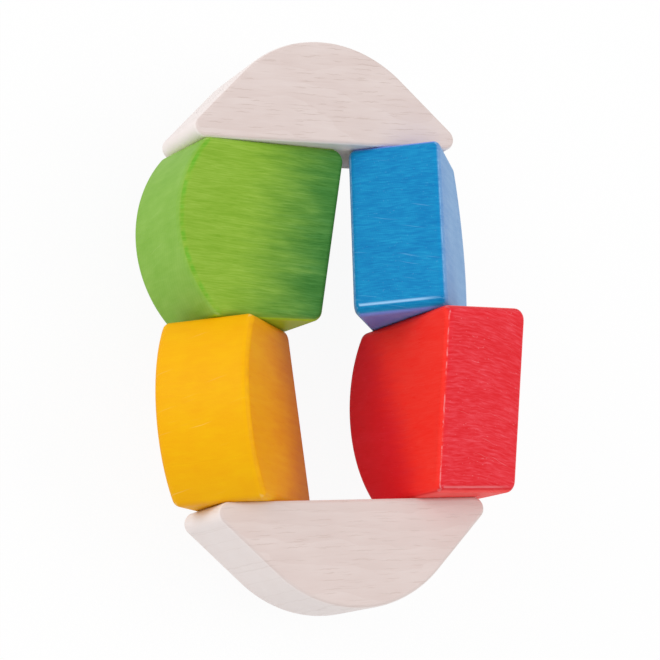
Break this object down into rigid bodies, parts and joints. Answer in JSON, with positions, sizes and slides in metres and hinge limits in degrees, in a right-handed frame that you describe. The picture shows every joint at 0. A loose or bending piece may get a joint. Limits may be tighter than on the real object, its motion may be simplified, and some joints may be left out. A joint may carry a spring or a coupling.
{
  "type": "twisty snake puzzle",
  "caption": "Stacking-block twist toy: two pairs of coloured D-shaped blocks turn on an elastic cord between two beech end blocks.",
  "frame": {"origin": "middle of the bottom end block's flat back face", "axes": "+Z out of the front faces, away from the table; +Y along the toy from the bottom end block to the top end block; +X across it to the blue and red column"},
  "size_m": [0.0959, 0.1402, 0.059],
  "materials": {
    "beech": "natural oiled beech, fine sanded",
    "beech_plug": "beech dowel, glued and sanded flush",
    "green_stain": "green water stain, grain showing, satin",
    "blue_stain": "blue water stain, grain showing, satin",
    "yellow_stain": "yellow water stain, grain showing, satin",
    "red_stain": "red water stain, grain showing, satin",
    "elastic": "round braided elastic cord"
  },
  "bodies": {
    "bottom_end": {"bottom_end_block": "beech", "cross_channel_plug": "beech_plug", "elastic_cord": "elastic"},
    "top_end": {"top_end_block": "beech", "left_knot_plug": "beech_plug", "right_knot_plug": "beech_plug"},
    "green_block": {"green_block": "green_stain"},
    "blue_block": {"blue_block": "blue_stain"},
    "yellow_block": {"yellow_block": "yellow_stain"},
    "red_block": {"red_block": "red_stain"}
  },
  "joints": [
    {"name": "halves_pull", "type": "slide", "parent": "bottom_end", "child": "top_end", "axis": [0, 1, 0], "range_m": [0, 0.03], "stiffness_N_per_m": 150, "springref_m": -0.02, "deforming": ["elastic_cord"]},
    {"name": "green_twist", "type": "hinge", "parent": "top_end", "child": "green_block", "pos_m": [-0.0262, 0.05705, 0.0115], "axis": [0, 1, 0], "continuous": true},
    {"name": "blue_twist", "type": "hinge", "parent": "top_end", "child": "blue_block", "pos_m": [0.0262, 0.05705, 0.0115], "axis": [0, 1, 0], "continuous": true},
    {"name": "yellow_twist", "type": "hinge", "parent": "bottom_end", "child": "yellow_block", "pos_m": [-0.0262, 0.05705, 0.0115], "axis": [0, 1, 0], "continuous": true},
    {"name": "red_twist", "type": "hinge", "parent": "bottom_end", "child": "red_block", "pos_m": [0.0262, 0.05705, 0.0115], "axis": [0, 1, 0], "continuous": true}
  ]
}
